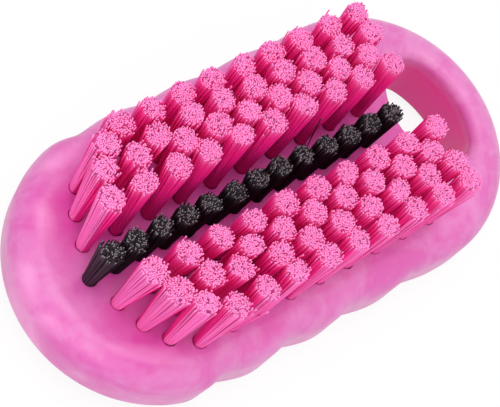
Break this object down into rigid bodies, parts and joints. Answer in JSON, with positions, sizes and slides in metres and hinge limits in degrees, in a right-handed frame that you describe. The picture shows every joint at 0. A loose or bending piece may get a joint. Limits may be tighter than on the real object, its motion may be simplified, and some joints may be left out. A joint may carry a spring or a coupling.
{
  "type": "nail brush",
  "caption": "Pink nail brush: a scalloped moulded block with a finger loop, tall pink tufts on both sides of a lower black row.",
  "frame": {"origin": "middle of the block's flat back", "axes": "+X along the block towards the finger loop, +Y across the block to the far bank, +Z from the back to the tips of the bristles"},
  "size_m": [0.1, 0.0494, 0.0305],
  "materials": {
    "body_plastic": "satin gloss, softly marbled pink",
    "pink_filament": "extruded filament, translucent hot pink",
    "black_filament": "extruded filament, black",
    "anchor_wire": "drawn flat wire"
  },
  "bodies": {
    "root": {"brush_body": "body_plastic", "centre_row_anchors": "anchor_wire", "centre_row_tufts": "black_filament", "far_end_corner_anchor": "anchor_wire", "far_end_corner_tuft": "pink_filament", "far_end_filler_anchor": "anchor_wire", "far_end_filler_tuft": "pink_filament", "far_end_pair_anchors": "anchor_wire", "far_end_pair_tufts": "pink_filament", "far_inner_row_anchors": "anchor_wire", "far_inner_row_tufts": "pink_filament", "far_outer_row_anchors": "anchor_wire", "far_outer_row_tufts": "pink_filament", "far_second_row_anchors": "anchor_wire", "far_second_row_tufts": "pink_filament", "far_third_row_anchors": "anchor_wire", "far_third_row_tufts": "pink_filament", "near_end_corner_anchor": "anchor_wire", "near_end_corner_tuft": "pink_filament", "near_end_filler_anchor": "anchor_wire", "near_end_filler_tuft": "pink_filament", "near_end_pair_anchors": "anchor_wire", "near_end_pair_tufts": "pink_filament", "near_inner_row_anchors": "anchor_wire", "near_inner_row_tufts": "pink_filament", "near_outer_row_anchors": "anchor_wire", "near_outer_row_tufts": "pink_filament", "near_second_row_anchors": "anchor_wire", "near_second_row_tufts": "pink_filament", "near_third_row_anchors": "anchor_wire", "near_third_row_tufts": "pink_filament"}
  },
  "joints": []
}
